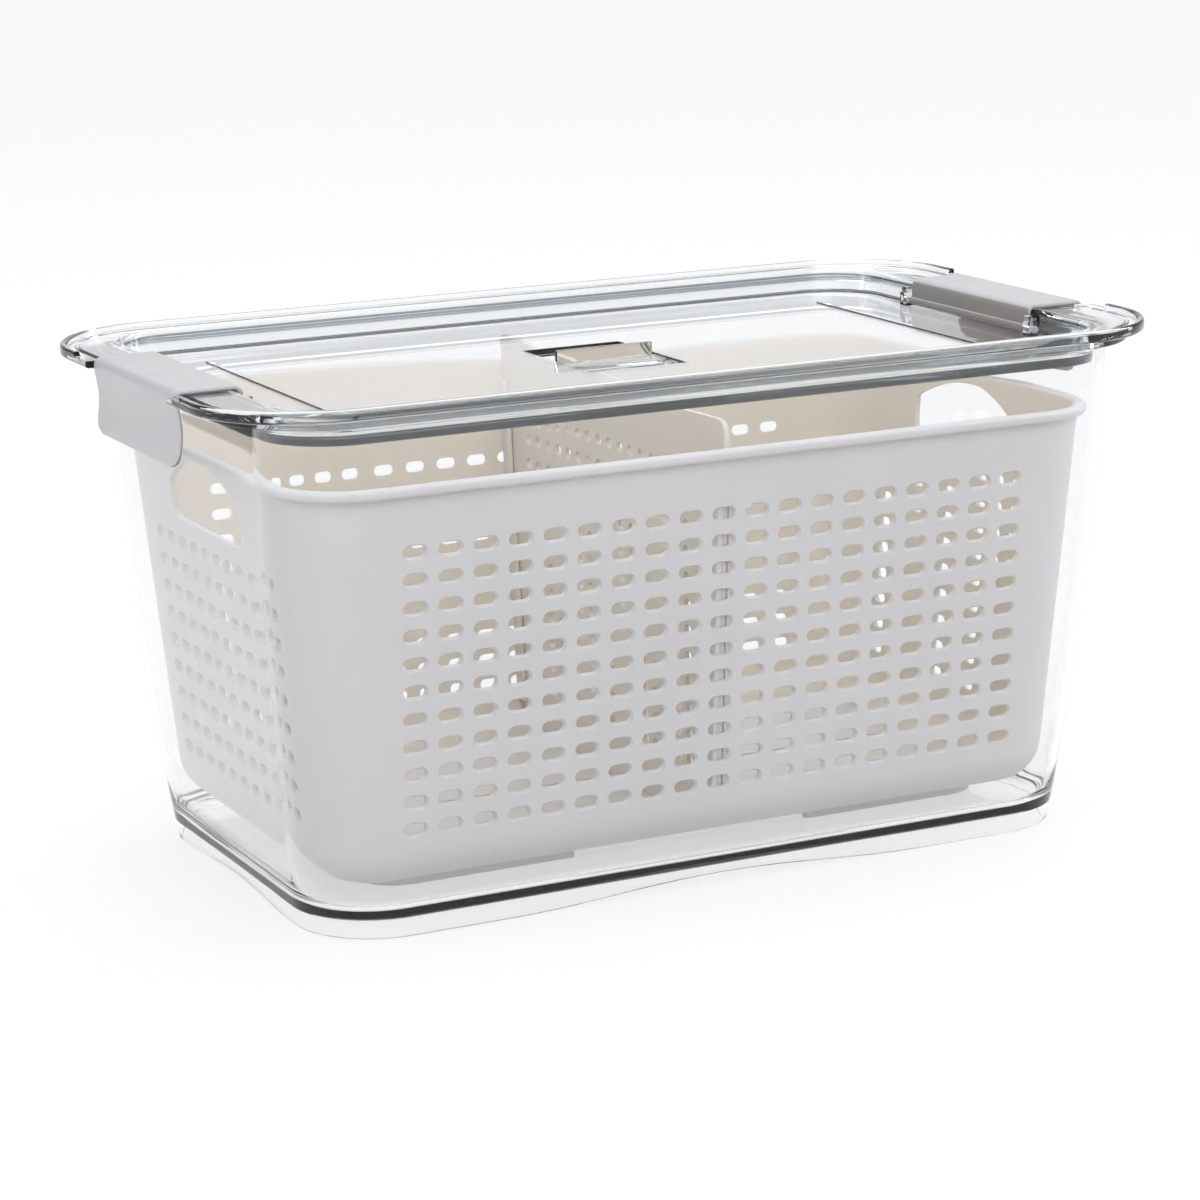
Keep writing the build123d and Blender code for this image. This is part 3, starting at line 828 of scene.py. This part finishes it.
def make_clip(name, side):
    """Ribbon with round edges swept along the clip's section, plus its hinge barrel and studs."""
    skin = Skin()
    path = clip_path()
    edge = CLIP_THICK / 2
    loops = []
    for index, (x, z) in enumerate(path):
        before = path[max(index - 1, 0)]
        after = path[min(index + 1, len(path) - 1)]
        along = Vector((after[0] - before[0], after[1] - before[1])).normalized()
        across = Vector((-along[1], along[0]))
        rise = z - CLIP_BOTTOM
        half = CLIP_WIDTH / 2
        if x > HINGE_X + CLIP_RADIUS and rise < CLIP_LIP_RADIUS:
            drop = CLIP_LIP_RADIUS - rise
            half -= CLIP_LIP_RADIUS - (CLIP_LIP_RADIUS ** 2 - drop ** 2) ** 0.5
        section = []
        for end, start in ((1, 90), (-1, 270)):
            for step in range(7):
                angle = radians(start - 180 * step / 6)
                reach = end * (half - edge) + edge * 0.999 * cos(angle)
                depth = edge * sin(angle)
                section.append((side * (x + across[0] * depth), reach, z + across[1] * depth))
        loops.append(section)
    for low, high in zip(loops, loops[1:]):
        skin.band(low, high)
    skin.face(loops[0])
    skin.face(loops[-1])
    clip = skin.finish(name, clip_grey)
    half = CLIP_WIDTH / 2
    for label, reach, radius in (
        ("barrel", half, BARREL_RADIUS),
        ("studs", half + TRUNNION_LENGTH, TRUNNION_RADIUS),
    ):
        added = bmesh.new()
        rod(added, side * HINGE_X, HINGE_Z, -reach, reach, radius)
        combine(clip, label, added, "UNION")
    smooth(clip.data, 40)
    return clip


def stadium(size, centre):
    """Round-ended slot: eighteen points, counter-clockwise from the foot of its right end."""
    radius = size[1] / 2
    reach = size[0] / 2 - radius
    points = []
    for sign, start in ((1, -90), (-1, 90)):
        for step in range(9):
            angle = radians(start + 22.5 * step)
            x = centre[0] + sign * reach + radius * cos(angle)
            points.append((x, centre[1] + radius * sin(angle)))
    return points


# The points of a slot that face each edge of its cell: below, right, above and left
QUARTERS = (
    (15, 16, 17, 0, 1, 2),
    (2, 3, 4, 5, 6),
    (6, 7, 8, 9, 10, 11),
    (11, 12, 13, 14, 15),
)


def perforate(skin, place, grid, low_row, size, core, chamfer):
    """Slotted grid on a sheet; place(a, b, depth) is a point, with depth 0 outside and 1 inside."""
    columns, rows, pitch_a, pitch_b = grid
    a_lines = grid_lines(grid, size)
    for column in range(columns):
        for row in range(rows):
            a = (column - (columns - 1) / 2) * pitch_a
            b = low_row + row * pitch_b
            left, right = a_lines[column:column + 2]
            corners = [(left, b - pitch_b / 2), (right, b - pitch_b / 2),
                       (right, b + pitch_b / 2), (left, b + pitch_b / 2)]
            wide = stadium(size, (a, b))
            narrow = stadium(core, (a, b))
            for depth, loop in ((0, wide), (1, narrow)):
                for index, portion in enumerate(QUARTERS):
                    ring = [place(*loop[k], depth) for k in reversed(portion)]
                    first, second = corners[index], corners[(index + 1) % 4]
                    skin.face([place(*first, depth), place(*second, depth)] + ring)
            outer = [place(*point, 0) for point in wide]
            throat = [place(*point, chamfer) for point in narrow]
            inner = [place(*point, 1) for point in narrow]
            skin.band(outer, throat)
            skin.band(throat, inner)


def grid_lines(grid, size):
    """Upright lines between a grid's columns; the outer two stand close beside the slots."""
    columns, _, pitch_a, _ = grid
    lines = [(index - columns / 2) * pitch_a for index in range(columns + 1)]
    edge = (columns - 1) / 2 * pitch_a + size[0] / 2 + 0.3
    lines[0], lines[-1] = -edge, edge
    return lines


def grid_edges(grid, low_row, size):
    """The four edges of a slotted grid, each as its cells' corner points, counter-clockwise."""
    _, rows, _, pitch_b = grid
    bottom = low_row - pitch_b / 2
    a_lines = grid_lines(grid, size)
    b_lines = [bottom + index * pitch_b for index in range(rows + 1)]
    return (
        [(a, b_lines[0]) for a in a_lines],
        [(a_lines[-1], b) for b in b_lines],
        [(a, b_lines[-1]) for a in reversed(a_lines)],
        [(a_lines[0], b) for b in reversed(b_lines)],
    )


def margins(skin, place, grid, low_row, size, outline):
    """Plain sheet between a slotted grid and the outline's four runs, on both faces."""
    for edge, run in zip(grid_edges(grid, low_row, size), outline):
        for depth in (0, 1):
            skin.face([place(*point, depth) for point in list(run) + list(reversed(edge))])


def handle_outline():
    """Hand hole from the middle of its foot round its right side to the crown."""
    half = HANDLE_WIDTH / 2
    shoulder = HANDLE_BOTTOM + HANDLE_SIDE
    corner = arc((half - HANDLE_CORNER, HANDLE_BOTTOM + HANDLE_CORNER), HANDLE_CORNER, -90, 0, 5)
    radius = (half ** 2 + HANDLE_RISE ** 2) / (2 * HANDLE_RISE)
    middle = shoulder + HANDLE_RISE - radius
    crown = []
    for step in range(1, 13):
        a = half * (1 - step / 12)
        crown.append((a, middle + (radius ** 2 - a ** 2) ** 0.5))
    return [(0.0, HANDLE_BOTTOM)] + corner + [(half, shoulder)] + crown


def basket_corner(z):
    """Corner radius of the basket's outside, tighter at the foot to keep the slots on the flat."""
    low = BASKET_FLOOR + BASKET_FILLET
    share = min(1.0, max(0.0, (z - low) / (BASKET_TOP - low)))
    return BASKET_CORNERS[0] + (BASKET_CORNERS[1] - BASKET_CORNERS[0]) * share


def make_basket():
    """Slotted walls and floor, with floor fillets, rounded corners, a rolled rim and hand holes."""
    skin = Skin()
    steps = 12
    wall_low = BASKET_FLOOR + BASKET_FILLET
    wall_high = BASKET_TOP - RIM_HEIGHT - 0.4

    def loop(z, offset):
        half_x, half_y = basket_half(z)
        radius = max(basket_corner(z) + offset, 1.0)
        return rounded_loop(half_x + offset, half_y + offset, radius, z, steps)

    def flat_edges(axis):
        """Foot and top edge of a wall's flat part."""
        foot, head = [basket_half(z)[axis] - basket_corner(z) for z in (wall_low, wall_high)]
        return [(-foot, wall_low), (foot, wall_low)], [(head, wall_high), (-head, wall_high)]

    flats = tuple((steps + 1) * k + steps for k in range(4))
    # Skins below the walls: floor fillets outside and inside
    for inset, floor in ((0.0, BASKET_FLOOR), (BASKET_WALL, BASKET_FLOOR + BASKET_WALL)):
        radius = BASKET_FILLET - inset
        fillet = []
        for angle in (90, 75, 60, 45, 30, 15, 0):
            turn = radians(angle)
            fillet.append(loop(floor + radius * (1 - sin(turn)), -inset - radius * (1 - cos(turn))))
        for low, high in zip(fillet, fillet[1:]):
            skin.band(low, high)
        wall = [loop(wall_low, -inset), loop(wall_high, -inset)]
        skin.band(wall[0], wall[1], skip=flats)
    # Rolled rim
    rim = [loop(wall_high, 0.0)]
    centre = RIM_OVERHANG - 1.2
    rim += [loop(BASKET_TOP - RIM_HEIGHT - 0.1, 0.3)]
    for offset, z in arc((centre, BASKET_TOP - RIM_HEIGHT + 1.0), 1.2, -80, 0, 4):
        rim.append(loop(z, offset))
    for offset, z in arc((centre, BASKET_TOP - 1.2), 1.2, 0, 90, 5):
        rim.append(loop(z, offset))
    for offset, z in arc((-BASKET_WALL + 1.0, BASKET_TOP - 1.0), 1.0, 90, 180, 4):
        rim.append(loop(z, offset))
    rim.append(loop(wall_high, -BASKET_WALL))
    for low, high in zip(rim, rim[1:]):
        skin.band(low, high)
    # Slotted walls
    for side in (-1, 1):
        columns, rows, pitch_a, pitch_b, low_row = SIDE_GRID
        grid = (columns, rows if side < 0 else rows - 1, pitch_a, pitch_b)

        def on_side(a, b, depth):
            return (a, side * (basket_half(b)[1] - BASKET_WALL * depth), b)

        bottom, top = flat_edges(0)
        outline = (bottom, [bottom[1], top[0]], top, [top[1], bottom[0]])
        perforate(skin, on_side, grid, low_row, SLOT_SIZE, SLOT_CORE, SLOT_CHAMFER)
        margins(skin, on_side, grid, low_row, SLOT_SIZE, outline)

        columns, rows, pitch_a, pitch_b, low_row = END_GRID
        grid = (columns, rows, pitch_a, pitch_b)

        def on_end(a, b, depth):
            return (side * (basket_half(b)[0] - BASKET_WALL * depth), a, b)

        bottom, top = flat_edges(1)
        outline = (bottom, [bottom[1], top[0]], None, [top[1], bottom[0]])
        perforate(skin, on_end, grid, low_row, END_SLOT_SIZE, END_SLOT_CORE, SLOT_CHAMFER)
        edges = grid_edges(grid, low_row, END_SLOT_SIZE)
        hole = handle_outline()
        for depth in (0, 1):
            for index in (0, 1, 3):
                run = list(outline[index]) + list(reversed(edges[index]))
                skin.face([on_end(*point, depth) for point in run])
            middle = columns // 2
            for mirror in (1, -1):
                along = [(mirror * abs(a), b) for a, b in edges[2][:middle + 1]]
                around = along + [(mirror * a, b) for a, b in hole]
                around += [(0.0, wall_high), (mirror * top[0][0], wall_high)]
                skin.face([on_end(*point, depth) for point in around])
        whole = hole + [(-a, b) for a, b in reversed(hole[1:-1])]
        skin.band([on_end(*point, 0) for point in whole], [on_end(*point, 1) for point in whole])
    # Slotted floor
    grid = DRAIN_GRID
    low_row = -(grid[1] - 1) / 2 * grid[3]

    def on_floor(a, b, depth):
        return (a, b, BASKET_FLOOR + BASKET_WALL * depth)

    perforate(skin, on_floor, grid, low_row, DRAIN_SLOT, DRAIN_SLOT, 0.5)
    edges = grid_edges(grid, low_row, DRAIN_SLOT)
    for depth, floor in ((0, BASKET_FLOOR), (1, BASKET_FLOOR + BASKET_WALL)):
        inset = BASKET_WALL * depth
        radius = BASKET_FILLET - inset
        ring = loop(floor, -inset - radius)
        quarter = steps // 2
        size = steps + 1
        # The ring starts on the right; its quarters face right, far, left and near
        cuts = [quarter + k * size for k in range(4)]
        for index, start in ((2, 0), (3, 1), (0, 2), (1, 3)):
            stop = cuts[(start + 1) % 4]
            run = []
            k = cuts[start]
            while k != stop:
                run.append(ring[k])
                k = (k + 1) % len(ring)
            run.append(ring[stop])
            inner = [on_floor(*point, depth) for point in reversed(edges[index])]
            skin.face(run + inner)
    return skin.finish("grey_basket", basket_grey, 30)


def make_feet():
    """Foot ring under the basket, in four corners with gaps between them."""
    skin = Skin()
    length, width, radius, wall = FOOT_RING
    top = BASKET_FLOOR + 0.2
    bottom = BASKET_FLOOR - FOOT_HEIGHT
    outer = rounded_loop(length / 2, width / 2, radius, 0, 10)
    inner = rounded_loop(length / 2 - wall, width / 2 - wall, radius - wall, 0, 10)
    for corner in range(4):
        first = corner * 11
        arcs = [outer[first:first + 11], inner[first:first + 11]]
        sign_x = 1 if corner in (0, 3) else -1
        sign_y = 1 if corner in (0, 1) else -1
        along_x = sign_x * FOOT_GAPS[0] / 2
        along_y = sign_y * FOOT_GAPS[1] / 2
        path = []
        for loop, half in zip(arcs, (0, wall)):
            on_end = (sign_x * (length / 2 - half), along_y)
            on_side = (along_x, sign_y * (width / 2 - half))
            ordered = [on_end] + [(x, y) for x, y, _ in loop] + [on_side]
            if corner in (1, 3):
                ordered = [on_side] + [(x, y) for x, y, _ in loop] + [on_end]
            path.append(ordered)
        ring = path[0] + path[1][::-1]
        low = [(x, y, bottom) for x, y in ring]
        high = [(x, y, top) for x, y in ring]
        skin.band(low, high)
        count = len(path[0])
        for z in (bottom, top):
            for k in range(count - 1):
                quad = [path[0][k], path[0][k + 1], path[1][k + 1], path[1][k]]
                skin.face([(x, y, z) for x, y in quad])
    feet = skin.finish("basket_feet", basket_grey)
    soften(feet, FOOT_EDGE, 3)
    smooth(feet.data, 35)
    return feet


def make_ribs():
    """Two pairs of upright ribs that hold the divider's edges."""
    skin = Skin()
    low_z = BASKET_FLOOR + BASKET_FILLET
    high_z = BASKET_TOP - RIB_TOP_MARGIN
    offset = DIVIDER_THICK / 2 + RIB_GAP + RIB_THICK / 2
    for middle in (DIVIDER_X - offset, DIVIDER_X + offset):
        for side in (-1, 1):
            faces = []
            for x in (middle - RIB_THICK / 2, middle + RIB_THICK / 2):
                low_y = basket_half(low_z)[1] - BASKET_WALL
                high_y = basket_half(high_z)[1] - BASKET_WALL
                faces.append([
                    (x, side * (low_y - RIB_DEPTH), low_z), (x, side * (low_y + 0.2), low_z),
                    (x, side * (high_y + 0.2), high_z), (x, side * (high_y - RIB_DEPTH), high_z),
                ])
            skin.band(faces[0], faces[1])
            skin.face(faces[0])
            skin.face(faces[1])
    ribs = skin.finish("basket_ribs", basket_grey)
    soften(ribs, RIB_EDGE)
    smooth(ribs.data, 35)
    return ribs


def make_divider():
    """Slotted plate with rounded corners."""
    skin = Skin()
    low_z = BASKET_FLOOR + BASKET_WALL + FOOT_GAP
    low_half = basket_half(low_z)[1] - BASKET_WALL - DIVIDER_END_GAP
    high_half = basket_half(DIVIDER_TOP)[1] - BASKET_WALL - DIVIDER_END_GAP
    columns, rows, pitch_a, pitch_b, low_row = DIVIDER_GRID
    grid = (columns, rows, pitch_a, pitch_b)
    foot = BASKET_FILLET

    def on_plate(a, b, depth):
        return (DIVIDER_X + DIVIDER_THICK * (depth - 0.5), a, b)

    lean = (high_half - low_half) / (DIVIDER_TOP - low_z)
    foot_arc = arc((low_half - foot + lean * foot, low_z + foot), foot, -90, 0, 8)
    head = DIVIDER_HEAD
    head_arc = arc((high_half - head - lean * head, DIVIDER_TOP - head), head, 0, 90, 5)
    right = foot_arc[4:] + head_arc[:3]
    bottom = [(-a, b) for a, b in reversed(foot_arc[:5])] + foot_arc[:5]
    top = head_arc[2:] + [(-a, b) for a, b in reversed(head_arc[2:])]
    left = [(-a, b) for a, b in reversed(right)]
    perforate(skin, on_plate, grid, low_row, DIVIDER_SLOT, DIVIDER_SLOT, 0.4)
    margins(skin, on_plate, grid, low_row, DIVIDER_SLOT, (bottom, right, top, left))
    outline = bottom[:-1] + right[:-1] + top[:-1] + left[:-1]
    skin.band([on_plate(*p, 0) for p in outline], [on_plate(*p, 1) for p in outline])
    return skin.finish("grey_divider", divider_grey, 30)


bin_piece = make_bin()
lid_piece = make_lid()
slider_piece = make_slider()
left_piece = make_clip("grey_clip_left", -1)
right_piece = make_clip("grey_clip_right", 1)
basket_piece = make_basket()
feet_piece = make_feet()
ribs_piece = make_ribs()
divider_piece = make_divider()

dressed = (
    (bin_piece, "bin", "outer_bin", "clear_bin"),
    (lid_piece, "lid", "lid", "clear_lid"),
    (slider_piece, "slider", "vent_slider", "clear_lid"),
    (left_piece, "left_clip", "left_clip", "clip_grey"),
    (right_piece, "right_clip", "right_clip", "clip_grey"),
    (basket_piece, "basket", "basket", "basket_grey"),
    (feet_piece, "basket", "basket", "basket_grey"),
    (ribs_piece, "basket", "basket", "basket_grey"),
    (divider_piece, "divider", "divider", "divider_grey"),
)
for piece, body, node, slot in dressed:
    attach(piece, body)
    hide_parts(node)


# Floor, world, lamps and camera

STUDIO_WHITE = (0.95, 0.96, 0.97, 1.0)
CARD_SLATE = (0.28, 0.31, 0.34, 1.0)
# Where the dark cards begin and end to each side: the sine of the angle from straight ahead
DARK_CARDS = (0.45, 0.9)
DAYLIGHT = (0.97, 0.985, 1.0, 1.0)
BACKDROP = (0.985, 0.985, 0.985, 1.0)
WORLD_STRENGTH = 0.9
FLOOR_WHITE = (0.9, 0.9, 0.9, 1.0)
FLOOR_GLOW = 0.72
# The floor's half width and its drop below the box's foot, in metres
FLOOR_HALF = 6.0
FLOOR_DROP = 0.0002
# Each lamp's name, place and aim in metres, its width and height, and its power
LAMPS = (
    ("key", (-0.2, -1.3, 1.3), (0.0, 0.0, 0.08), (1.2, 1.0), 9.0),
    ("top", (0.3, 0.4, 1.6), (0.0, 0.0, 0.1), (1.4, 1.4), 8.0),
    ("left_strip", (-1.5, 0.35, 0.5), (0.0, 0.0, 0.1), (0.25, 1.1), 3.0),
    ("right_strip", (1.4, -0.1, 0.5), (0.0, 0.0, 0.1), (0.2, 1.1), 4.0),
)
CLIP_START = 0.05


def stage_material(name, colour, glow):
    """Pale floor: a soft shadow for light, near white to the camera, gloss and glass."""
    material, nodes, links, shader = new_material(name)
    shader.inputs["Base Color"].default_value = colour
    shader.inputs["Roughness"].default_value = 0.6
    shader.inputs["Specular IOR Level"].default_value = 0.2
    path = nodes.new("ShaderNodeLightPath")
    camera, gloss, glass = seeing_rays(path)
    direct = combined(nodes, links, "MAXIMUM", camera, glass)
    seen = combined(nodes, links, "MAXIMUM", direct, gloss)
    share = combined(nodes, links, "MULTIPLY", seen, glow)
    light = nodes.new("ShaderNodeEmission")
    light.inputs["Color"].default_value = (1.0, 1.0, 1.0, 1.0)
    light.inputs["Strength"].default_value = 1.0
    mix = mixed(nodes, links, share, shader.outputs["BSDF"], light.outputs["Emission"])
    links.new(mix, nodes["Material Output"].inputs["Surface"])
    return material


def make_floor():
    half = FLOOR_HALF
    corners = [(-half, -half, 0), (half, -half, 0), (half, half, 0), (-half, half, 0)]
    data = bpy.data.meshes.new("floor")
    data.from_pydata(corners, [], [(0, 1, 2, 3)])
    floor = placed("floor", data)
    data.materials.append(stage_material("floor_white", FLOOR_WHITE, FLOOR_GLOW))
    floor.location = (0.0, 0.0, -FLOOR_DROP)


def make_world():
    """Even light; gloss and glass also see darker cards to the left and right of the view."""
    world = bpy.data.worlds.new("studio")
    bpy.context.scene.world = world
    world.use_nodes = True
    nodes = world.node_tree.nodes
    links = world.node_tree.links
    light = nodes["Background"]
    light.inputs["Color"].default_value = DAYLIGHT
    light.inputs["Strength"].default_value = WORLD_STRENGTH
    place = nodes.new("ShaderNodeTexCoord")
    turn = radians(VIEW_AZIMUTH)
    across = direction_share(nodes, links, place.outputs["Generated"], (cos(turn), sin(turn), 0.0))
    aside = nodes.new("ShaderNodeMath")
    aside.operation = "ABSOLUTE"
    links.new(across, aside.inputs[0])
    cards = between(nodes, links, aside.outputs[0], *DARK_CARDS, 0.1)
    shade = nodes.new("ShaderNodeMix")
    shade.data_type = "RGBA"
    shade.inputs["A"].default_value = STUDIO_WHITE
    shade.inputs["B"].default_value = CARD_SLATE
    links.new(cards, shade.inputs["Factor"])
    studio = nodes.new("ShaderNodeBackground")
    links.new(shade.outputs["Result"], studio.inputs["Color"])
    path = nodes.new("ShaderNodeLightPath")
    camera, gloss, glass = seeing_rays(path)
    white = nodes.new("ShaderNodeBackground")
    white.inputs["Color"].default_value = BACKDROP
    seen = combined(nodes, links, "MAXIMUM", gloss, glass)
    mix = mixed(nodes, links, seen, light.outputs["Background"], studio.outputs["Background"])
    final = mixed(nodes, links, camera, mix, white.outputs["Background"])
    links.new(final, nodes["World Output"].inputs["Surface"])


def add_lamp(name, place, aim, size, power):
    data = bpy.data.lights.new(name, "AREA")
    data.shape = "RECTANGLE"
    data.size, data.size_y = size
    data.energy = power
    lamp = placed(name, data)
    lamp.location = place
    lamp.rotation_euler = (Vector(aim) - Vector(place)).to_track_quat("-Z", "Y").to_euler()


def make_camera():
    azimuth, elevation, roll = radians(VIEW_AZIMUTH), radians(VIEW_ELEVATION), radians(VIEW_ROLL)
    back = Vector((sin(azimuth) * cos(elevation), -cos(azimuth) * cos(elevation), sin(elevation)))
    level = (-back).cross(Vector((0, 0, 1))).normalized()
    upright = level.cross(-back)
    right = level * cos(roll) + upright * sin(roll)
    up = upright * cos(roll) - level * sin(roll)
    place = back * VIEW_DISTANCE + Vector((0, 0, VIEW_TARGET_Z))
    place += level * VIEW_SHIFT_RIGHT + upright * VIEW_SHIFT_UP
    data = bpy.data.cameras.new("camera")
    data.lens = LENS_MM
    data.sensor_width = SENSOR_MM
    data.clip_start = CLIP_START
    camera = placed("camera", data)
    turn = Matrix((right, up, back)).transposed().to_4x4()
    camera.matrix_world = Matrix.Translation(place * MM) @ turn
    bpy.context.scene.camera = camera


make_floor()
make_world()
for lamp in LAMPS:
    add_lamp(*lamp)
make_camera()
scene = bpy.context.scene
scene.view_settings.view_transform = "Standard"
scene.cycles.max_bounces = 20
scene.cycles.transmission_bounces = 20
scene.cycles.glossy_bounces = 8
scene.cycles.transparent_max_bounces = 24
